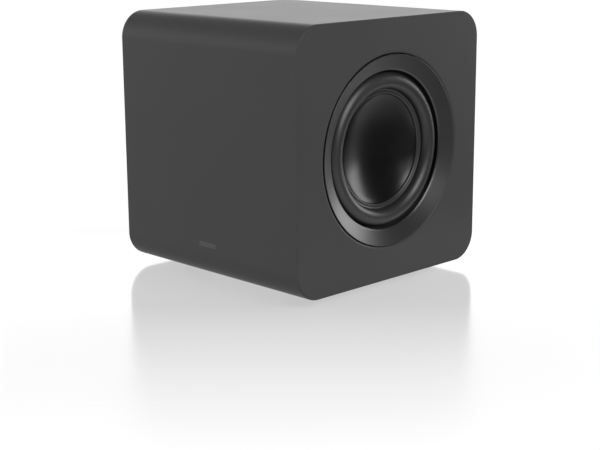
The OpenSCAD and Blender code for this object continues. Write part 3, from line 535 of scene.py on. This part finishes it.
# Surround: one rubber roll between a flat lip under the ring and a round bead glued to the dish
roll_out = Vector((ROLL_OUT_R, LIP_Z - RUBBER_T / 2))
roll_in = Vector(on_dish(ROLL_IN_R, GLUE_GAP + RUBBER_T / 2))
half = (roll_out - roll_in).length / 2
roll_r = (half * half + ROLL_RISE * ROLL_RISE) / (2 * ROLL_RISE)
along = (roll_out - roll_in).normalized()
roll_centre = (roll_out + roll_in) / 2 - Vector((-along.y, along.x)) * (roll_r - ROLL_RISE)
tilt = math.degrees(math.atan2(along.y, along.x))
spread = math.degrees(math.asin(half / roll_r))
roll_face = arc(roll_centre, roll_r + RUBBER_T / 2, tilt + 90 - spread, ROLL_END, steps=32)
roll_back = arc(roll_centre, roll_r - RUBBER_T / 2, tilt + 90 + spread, tilt + 90 - spread, steps=28)
groove = [on_dish(r, GROOVE_H) for r in (ROLL_IN_R - RUBBER_T, BEAD_OUT_R + BEAD_GAP)]
bead_turn = arc(((BEAD_IN_R + BEAD_OUT_R) / 2, 0), (BEAD_OUT_R - BEAD_IN_R) / 2, 0, 180, steps=12)
bead_swell = (BEAD_H - GROOVE_H) / max(h for r, h in bead_turn)
bead = [on_dish(r, GROOVE_H + bead_swell * h) for r, h in bead_turn]
glued_back = [on_dish(r, GLUE_GAP) for r in GLUE_RADII]
points, faces = turned(
    [(LIP_OUT_R, FLANGE_Z), (LIP_OUT_R, LIP_Z), (ROLL_OUT_R + ROLL_FOOT, LIP_Z)]
    + roll_face
    + groove
    + bead
    + glued_back
    + roll_back
    + [(ROLL_OUT_R, FLANGE_Z)]
)
rubber_roll = piece("rubber_roll", points, faces, "surround_rubber", stands_for=["surround"], at=AT_DRIVER)

# Cone: a spherical dish whose face flares up to the bead and dips under it, with the coil's collar behind
DISH_STEPS = 40
dish_radii = [CONE_R * i / DISH_STEPS for i in range(DISH_STEPS + 1)]
flare_radii = [*range(FLARE_R + 1, BEAD_IN_R), BEAD_IN_R - BEAD_GAP]
flare = [on_dish(r, FLARE_H * ((r - FLARE_R) / (BEAD_IN_R - FLARE_R)) ** 2) for r in flare_radii]
bowl = [on_dish(r, 0) for r in dish_radii if r < FLARE_R]
glued_rim = [on_dish(r, 0) for r in dish_radii if r > BEAD_IN_R]
dish_back = [(r, dish_z(DISH_R + CONE_T, r)) for r in reversed(dish_radii)]
collar = [
    (COLLAR_OUT_R, dish_z(DISH_R + CONE_T, COLLAR_OUT_R)),
    (COLLAR_OUT_R, COLLAR_Z),
    (COLLAR_IN_R, COLLAR_Z),
    (COLLAR_IN_R, dish_z(DISH_R + CONE_T, COLLAR_IN_R)),
]
outside = [p for p in dish_back if p[0] > COLLAR_OUT_R]
inside = [p for p in dish_back if p[0] < COLLAR_IN_R]
points, faces = turned(bowl + flare + glued_rim + outside + collar + inside)
piece("cone_dish", points, faces, "cone_plastic", "cone_assembly", ["cone"], AT_DRIVER)


def flex(soft):
    """Lays each point's distance from the driver's axis on X, bakes the object's transform into the mesh,
    and then puts every point back where it was."""
    mesh = soft.data
    rest = [v.co.copy() for v in mesh.vertices]
    for v in mesh.vertices:
        v.co = (math.hypot(v.co.x, v.co.z - AXIS_Z * MM), 0, 0)
    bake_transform(soft)
    for v, co in zip(mesh.vertices, rest):
        v.co = co


flex(rubber_roll)

# Spider: a pressed cloth disc, flat at its two glued rims and waved between them
STEPS_PER_WAVE = 24
wave_steps = STEPS_PER_WAVE * WAVES
wave = [
    (
        WAVE_IN_R + (WAVE_OUT_R - WAVE_IN_R) * i / wave_steps,
        SPIDER_Z + WAVE_H * math.sin(2 * math.pi * WAVES * i / wave_steps),
    )
    for i in range(wave_steps + 1)
]
cloth = [(COLLAR_IN_R, SPIDER_Z)] + wave + [(SPIDER_OUT_R, SPIDER_Z)]
cloth_front = [(r, z + SPIDER_T / 2) for r, z in cloth]
cloth_back = [(r, z - SPIDER_T / 2) for r, z in reversed(cloth)]
points, faces = turned(cloth_front + cloth_back, count=96)
spider_disc = piece("spider_disc", points, faces, "spider_cloth", stands_for=["spider"], at=AT_DRIVER)
flex(spider_disc)


def swept(route, d, sides=12, steps=6):
    """Points and faces of a round tube on the smooth curve through a route, and of its mirror image in x."""
    knots = [Vector(p) for p in [route[0]] + route + [route[-1]]]
    path = []
    for a, b, c, e in zip(knots, knots[1:], knots[2:], knots[3:]):
        for t in (i / steps for i in range(steps)):
            bend = (2 * a - 5 * b + 4 * c - e) * t * t + (3 * b - a - 3 * c + e) * t * t * t
            path.append((2 * b + (c - a) * t + bend) / 2)
    path.append(knots[-1])
    loops = []
    for i, p in enumerate(path):
        ahead = (path[min(i + 1, len(path) - 1)] - path[max(i - 1, 0)]).normalized()
        side = (Vector((1, 0, 0)) - ahead.x * ahead).normalized()
        up = ahead.cross(side)
        turns = [2 * math.pi * k / sides for k in range(sides)]
        loops.append([p + d / 2 * (math.cos(t) * side + math.sin(t) * up) for t in turns])
    points, faces = loft(loops, ring=False)
    count = len(points)
    faces += ends(count, sides)
    mirrored = [Vector((-p.x, p.y, p.z)) for p in points]
    return points + mirrored, faces + [tuple(count + k for k in face) for face in faces]


# Tinsel leads: from the terminal tabs in a loose wave over the spider to the back of the cone
lead_route = [
    (LEAD_X, y, LEAD_TOP_Z + rise)
    for y, rise in [
        (56, 0), (55, 0), (53.9, 0), (50.8, 3), (46.7, 7), (40.5, 7),
        (35.3, 6), (30.1, 7), (27, 10), (27, 14.2), (27, 17.1),
    ]
]
points, faces = swept(lead_route, LEAD_D)
lead_braids = piece(
    "lead_braids", points, faces, "copper", stands_for=["tinsel_leads"], at=AT_DRIVER, finish=braid
)
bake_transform(lead_braids)

# Speaker wires: from the terminal tabs over the magnet and down to the grommet in the chassis
wire_route = [
    (7, -71.7, 181), (7, -71.7, 183), (7, -71.7, 185), (7, -67.7, 192), (6, -57.7, 195),
    (5, -44.7, 189), (4, -29.7, 172), (3, -5.5, 169), (2.4, 5, 143), (2, 12, 119),
    (1.6, 20.2, 99), (1.6, 32, 91), (1.6, 37.8, 91), (1.6, 46.5, 91), (1.6, 54.8, 91),
]
points, faces = swept(wire_route, WIRE_D)
piece("speaker_wires", points, faces, "wire_jacket", "cabinet", ["speaker_cable"])


# Print on the amplifier's plate: thin white ink, a hair proud of the paint
INK_LOW, INK_HIGH, STROKE, NUMBER_H, DOT, TICK_H = -0.02, 0.05, 0.5, 3.2, 1.2, 1.8
# A bar's corners, as a part of its lesser side
CORNER_PART = 2.2
# Distances of ticks and numbers from a knob's edge, and of other marks from the middle of what they name
TICK_OUT, NUMBER_OUT, OVER_SLIDER, OFF_ROCKER, LEFT_OF_JACK = 2.6, 7, 6, 14, 10
DIAL_STEPS = 10
PHASE_WORDS, DOT_X = (("0", -4), ("180", 4.5)), 2.5


def printed_bar(w, h, at, turn=0):
    """A bar of ink with round corners, turned clockwise in degrees about its middle and put on the plate."""
    place = Matrix.Translation((*at, 0)) @ Matrix.Rotation(-math.radians(turn), 4, "Z")
    corner = min(w, h) / CORNER_PART
    points, faces = loft([rounded(w, h, corner, z, steps=4) for z in (INK_LOW, INK_HIGH)], ring=False)
    return [place @ Vector(p) for p in points], faces + ends(len(points), len(points) // 2)


def printed_word(word, at):
    """A number or a short word in ink, centred on a place on the plate."""
    letters = bpy.data.curves.new("letters", "FONT")
    letters.body, letters.size, letters.extrude = word, NUMBER_H, (INK_HIGH - INK_LOW) / 2
    letters.align_x, letters.align_y = "CENTER", "CENTER"
    thing = bpy.data.objects.new("letters", letters)
    bpy.context.scene.collection.objects.link(thing)
    bpy.context.view_layer.update()
    mesh = bpy.data.meshes.new_from_object(thing.evaluated_get(bpy.context.evaluated_depsgraph_get()))
    shift = Vector((*at, (INK_HIGH + INK_LOW) / 2))
    points, faces = [v.co + shift for v in mesh.vertices], [tuple(p.vertices) for p in mesh.polygons]
    bpy.data.objects.remove(thing)
    bpy.data.curves.remove(letters)
    bpy.data.meshes.remove(mesh)
    return points, faces


def on_dial(middle, turn, r):
    """A place at this angle clockwise from the top of a knob's dial."""
    return middle[0] + r * math.sin(math.radians(turn)), middle[1] + r * math.cos(math.radians(turn))


marks = [
    printed_bar(STROKE, TICK_H, on_dial(middle, turn, KNOB_R + TICK_OUT), turn)
    for middle in (VOLUME, CROSSOVER)
    for turn in (KNOB_TURN * (2 * i / DIAL_STEPS - 1) for i in range(DIAL_STEPS + 1))
]
marks += [
    printed_word(word, on_dial(middle, turn, KNOB_R + NUMBER_OUT))
    for middle, words in ((VOLUME, ("0", "10")), (CROSSOVER, ("50", "150")))
    for word, turn in zip(words, (-KNOB_TURN, KNOB_TURN))
]
marks += [printed_word(word, (PHASE[0] + x, PHASE[1] + OVER_SLIDER)) for word, x in PHASE_WORDS]
marks += [printed_bar(DOT, DOT, (MODE[0] + x, MODE[1] + OVER_SLIDER)) for x in (-DOT_X, DOT_X)]
marks += [
    printed_word(word, (SWITCH[0], SWITCH[1] + y))
    for word, y in (("OFF", OFF_ROCKER), ("ON", -OFF_ROCKER))
]
marks += [
    printed_word(word, (jack[0] - LEFT_OF_JACK, jack[1]))
    for word, jack in (("L", LEFT_JACK), ("R", RIGHT_JACK))
]
points, faces = [], []
for mark_points, mark_faces in marks:
    faces += [tuple(len(points) + k for k in face) for face in mark_faces]
    points += mark_points
piece("panel_print", points, faces, "white_plastic", "cabinet", at=AT_REAR, finish=white_ink)

# Knob pointers: white inlays that nearly fill the grooves in the knobs' top faces, with eased upper edges
INLAY_GAP, INLAY_R, INLAY_LIFT, INLAY_EASE, INLAY_DROP = 0.1, 0.2, 0.02, 0.12, 0.04
inlay_levels = [
    (INLAY_GAP, KNOB_TOP - POINTER_D + INLAY_LIFT),
    (INLAY_GAP, KNOB_TOP - INLAY_EASE),
    (2 * INLAY_GAP, KNOB_TOP - INLAY_DROP),
]
inlay_loops = [rounded(POINTER_W - gap, POINTER_H - gap, INLAY_R, z, steps=4) for gap, z in inlay_levels]
for knob, body, middle in (
    ("volume", "volume_control", VOLUME),
    ("crossover", "crossover_control", CROSSOVER),
):
    points, faces = loft(inlay_loops, ring=False)
    faces += ends(len(points), len(inlay_loops[0]))
    groove_place = AT_REAR @ Matrix.Translation(Vector((middle[0], middle[1] + POINTER_Y, 0)) * MM)
    piece(knob + "_pointer", points, faces, "white_plastic", body, at=groove_place, finish=white_ink)

# Power lamp: a light pipe with a domed end, a sphere of twice its radius
dome = arc((0, LAMP_TOP - 2 * LAMP_R), 2 * LAMP_R, 60, 90, steps=6)
points, faces = turned([(0, LAMP_BACK), (LAMP_R, LAMP_BACK)] + dome, count=32)
lamp_place = AT_REAR @ Matrix.Translation(Vector((*LAMP, 0)) * MM)
piece("light_pipe", points, faces, "lamp_lens", "cabinet", ["power_lamp"], lamp_place)


# Camera at the photograph's place: millimetres from the origin, angles in degrees, lens in millimetres
CAMERA_AT = (-780.49, -801.87, 301.35)
CAMERA_AZIMUTH, CAMERA_ELEVATION, CAMERA_ROLL = -44.455, 13.523, -0.334
LENS, SENSOR_W = 80.06, 36


def set_camera():
    """Adds the camera, and looks through it."""
    azimuth, elevation, roll = (math.radians(a) for a in (CAMERA_AZIMUTH, CAMERA_ELEVATION, CAMERA_ROLL))
    flat = math.cos(elevation)
    back = Vector((math.sin(azimuth) * flat, -math.cos(azimuth) * flat, math.sin(elevation)))
    level = Vector((math.cos(azimuth), math.sin(azimuth), 0))
    right = math.cos(roll) * level + math.sin(roll) * back.cross(level)
    turn = Matrix((right, back.cross(right), back)).transposed().to_4x4()
    lens_data = bpy.data.cameras.new("camera")
    lens_data.lens, lens_data.sensor_width = LENS, SENSOR_W
    camera = bpy.data.objects.new("camera", lens_data)
    camera.matrix_world = Matrix.Translation(Vector(CAMERA_AT) * MM) @ turn
    bpy.context.scene.collection.objects.link(camera)
    bpy.context.scene.camera = camera


set_camera()

# Studio, in metres and watts
AIM = (0, 0, 0.11)
WHITE, SHEET_GREY = linear("#ffffff"), linear("#7c7c7c")


def softbox(name, direction, distance, size, watts):
    """A soft rectangular lamp that faces the object."""
    light = bpy.data.lights.new(name, "AREA")
    light.shape, light.size, light.size_y, light.energy = "RECTANGLE", size[0], size[1], watts
    thing = bpy.data.objects.new(name, light)
    way = Vector(direction).normalized()
    thing.location = Vector(AIM) + way * distance
    thing.rotation_euler = way.to_track_quat("Z", "Y").to_euler()
    bpy.context.scene.collection.objects.link(thing)


softbox("key_softbox", direction=(-0.08, -0.82, 0.52), distance=2.2, size=(1.1, 1.2), watts=27)
softbox("front_card", direction=(0.08, -0.96, 0.25), distance=2.2, size=(0.9, 0.8), watts=4.5)
softbox("left_softbox", direction=(-0.95, 0.15, 0.3), distance=2.0, size=(1.2, 1.0), watts=10)
softbox("right_softbox", direction=(0.94, -0.26, 0.13), distance=1.4, size=(0.7, 0.6), watts=5.6)

# Room: how far round and how high its backdrop reaches, and the strengths of its dark front and backdrop
BACKDROP_BEHIND = {"From Min": -0.2, "From Max": 0.3}
BACKDROP_LOW = {"From Min": 0.25, "From Max": 0.6, "To Min": 1.0, "To Max": 0.0}
ROOM_STRENGTH = {"To Min": 0.12, "To Max": 1.6}


def studio_room():
    """The world: a pale backdrop behind the object, falling off upwards and sideways, and a dark front."""
    world = bpy.data.worlds.new("studio")
    world.use_nodes = True
    tree = world.node_tree
    tree.nodes.clear()
    way = add(tree, "SeparateXYZ", {0: add(tree, "TexCoord").outputs["Generated"]})
    behind = {"Value": way.outputs["Y"], **BACKDROP_BEHIND}
    low = {"Value": way.outputs["Z"], **BACKDROP_LOW}
    shares = [
        add(tree, "MapRange", share, interpolation_type="SMOOTHSTEP").outputs["Result"]
        for share in (behind, low)
    ]
    backdrop = add(tree, "Math", {0: shares[0], 1: shares[1]}, operation="MULTIPLY")
    strength = add(tree, "MapRange", {"Value": backdrop.outputs["Value"], **ROOM_STRENGTH})
    # The camera sees white all round; the object sees the room as it is
    path = add(tree, "LightPath")
    direct = {0: path.outputs["Is Camera Ray"], 1: path.outputs["Is Transmission Ray"]}
    shown = add(tree, "Math", direct, operation="MAXIMUM")
    pale = add(tree, "Math", {0: strength.outputs["Result"], 1: shown.outputs["Value"]}, operation="MAXIMUM")
    room = add(tree, "Background", {"Color": WHITE, "Strength": pale.outputs["Value"]})
    add(tree, "OutputWorld", {"Surface": room.outputs["Background"]})
    return world


bpy.context.scene.world = studio_room()
bpy.context.scene.view_settings.view_transform = "Standard"

# Floor: directions along it, and how it changes with the distance in metres along them
FLOOR_HALF = 4.0
TOWARD_CAMERA, ACROSS_VIEW, TO_TABLE_END = (-0.70, -0.71, 0), (0.71, -0.70, 0), (0.54, -0.84, 0)
MIRROR_NEAR = {"From Min": 0.13, "From Max": 0.50, "To Min": 1.0, "To Max": 0.0}
MIRROR_FAR = {"From Min": -0.18, "From Max": -0.02}
MIRROR_SIDE = {"From Min": 0.17, "From Max": 0.30, "To Min": 1.0, "To Max": 0.0}
TABLE_END = {"From Min": 0.24, "From Max": 0.40, "To Min": 0.75, "To Max": 0.0}
# Painted shadow under the object's foot: its reach from the middle, and the share of glow left where it is
# darkest
PAINTED_FOOT_SHADE = {"From Min": 0.085, "From Max": 0.165, "To Min": 0.6, "To Max": 1.0}
# How white and how hazy it is, first outside the mirror and then in it, and its glow to diffuse light
WHITENING, HAZE = {"To Min": 0.95, "To Max": 0.52}, {"To Min": 0.4, "To Max": 0.12}
BOUNCE = 0.13
# The share of the mirror that the object sees, as on a scuffed sheet
SCUFFED = 0.5


def acrylic_sheet():
    """The floor's finish: a grey sheet, white to the camera, that mirrors the object beside its foot."""
    finish = bpy.data.materials.new("pale_acrylic_sheet")
    finish.use_nodes = True
    tree = finish.node_tree
    tree.nodes.clear()
    place = add(tree, "TexCoord").outputs["Object"]
    path = add(tree, "LightPath")
    camera, glossy, through, diffuse = (
        path.outputs[f"Is {kind} Ray"] for kind in ("Camera", "Glossy", "Transmission", "Diffuse")
    )
    # The mirror is clear at the object's foot and fades towards the camera, behind and to the sides
    toward = add(tree, "VectorMath", {0: place, 1: TOWARD_CAMERA}, operation="DOT_PRODUCT")
    near = add(tree, "MapRange", {"Value": toward.outputs["Value"], **MIRROR_NEAR})
    back = {"Value": toward.outputs["Value"], **MIRROR_FAR}
    far = add(tree, "MapRange", back, interpolation_type="SMOOTHSTEP")
    beside = add(tree, "VectorMath", {0: place, 1: ACROSS_VIEW}, operation="DOT_PRODUCT")
    off_side = add(tree, "Math", {0: beside.outputs["Value"]}, operation="ABSOLUTE")
    side = {"Value": off_side.outputs["Value"], **MIRROR_SIDE}
    width = add(tree, "MapRange", side, interpolation_type="SMOOTHSTEP")
    clear = add(tree, "Math", {0: near.outputs["Result"], 1: far.outputs["Result"]}, operation="MULTIPLY")
    pool = add(tree, "Math", {0: clear.outputs["Value"], 1: width.outputs["Result"]}, operation="MULTIPLY")
    whiten = add(tree, "MapRange", {"Value": pool.outputs["Value"], **WHITENING})
    haze = add(tree, "MapRange", {"Value": pool.outputs["Value"], **HAZE})
    sheet = add(
        tree,
        "BsdfPrincipled",
        {"Base Color": SHEET_GREY, "Roughness": haze.outputs["Result"], "Specular IOR Level": 1.0},
    )
    matt = add(tree, "BsdfDiffuse", {"Color": SHEET_GREY})
    # Gloss sees the sheet fade out towards the front right, where a studio's table ends
    ahead = add(tree, "VectorMath", {0: place, 1: TO_TABLE_END}, operation="DOT_PRODUCT")
    fade = {"Value": ahead.outputs["Value"], **TABLE_END}
    table = add(tree, "MapRange", fade, interpolation_type="SMOOTHSTEP")
    # The sheet's glow, as gloss sees it, is darkened under the object's foot: a painted shadow
    from_middle = add(tree, "VectorMath", {0: place}, operation="ABSOLUTE")
    aside = add(tree, "SeparateXYZ", {0: from_middle.outputs["Vector"]})
    reach = add(tree, "Math", {0: aside.outputs["X"], 1: aside.outputs["Y"]}, operation="MAXIMUM")
    shade = {"Value": reach.outputs["Value"], **PAINTED_FOOT_SHADE}
    painted_shadow_share = add(tree, "MapRange", shade, interpolation_type="SMOOTHSTEP")
    on_table = {0: table.outputs["Result"], 1: painted_shadow_share.outputs["Result"]}
    table_with_painted_shadow = add(tree, "Math", on_table, operation="MULTIPLY")
    # What each kind of ray sees of its white
    gloss = add(tree, "Math", {0: glossy, 1: through}, operation="MAXIMUM")
    in_gloss = {0: gloss.outputs["Value"], 1: table_with_painted_shadow.outputs["Value"]}
    by_gloss = add(tree, "Math", in_gloss, operation="MULTIPLY")
    by_camera = add(tree, "Math", {0: camera, 1: whiten.outputs["Result"]}, operation="MULTIPLY")
    either = {0: by_camera.outputs["Value"], 1: by_gloss.outputs["Value"]}
    as_seen = add(tree, "Math", either, operation="MAXIMUM")
    bounce = {0: diffuse, 1: BOUNCE, 2: as_seen.outputs["Value"]}
    glow = add(tree, "Math", bounce, operation="MULTIPLY_ADD")
    lift = add(tree, "Emission", {"Color": WHITE, "Strength": glow.outputs["Value"]})
    seen = add(tree, "MapRange", {"Value": camera, "To Min": SCUFFED, "To Max": pool.outputs["Value"]})
    layers = {0: seen.outputs["Result"], 1: matt.outputs["BSDF"], 2: sheet.outputs["BSDF"]}
    top = add(tree, "MixShader", layers)
    both = add(tree, "AddShader", {0: top.outputs["Shader"], 1: lift.outputs["Emission"]})
    add(tree, "OutputMaterial", {"Surface": both.outputs["Shader"]})
    return finish


floor_mesh = bpy.data.meshes.new("floor")
corners = [(x * FLOOR_HALF, y * FLOOR_HALF, 0) for x, y in ((-1, -1), (1, -1), (1, 1), (-1, 1))]
floor_mesh.from_pydata(corners, [], [(0, 1, 2, 3)])
floor_mesh.materials.append(acrylic_sheet())
floor = bpy.data.objects.new("floor", floor_mesh)
bpy.context.scene.collection.objects.link(floor)
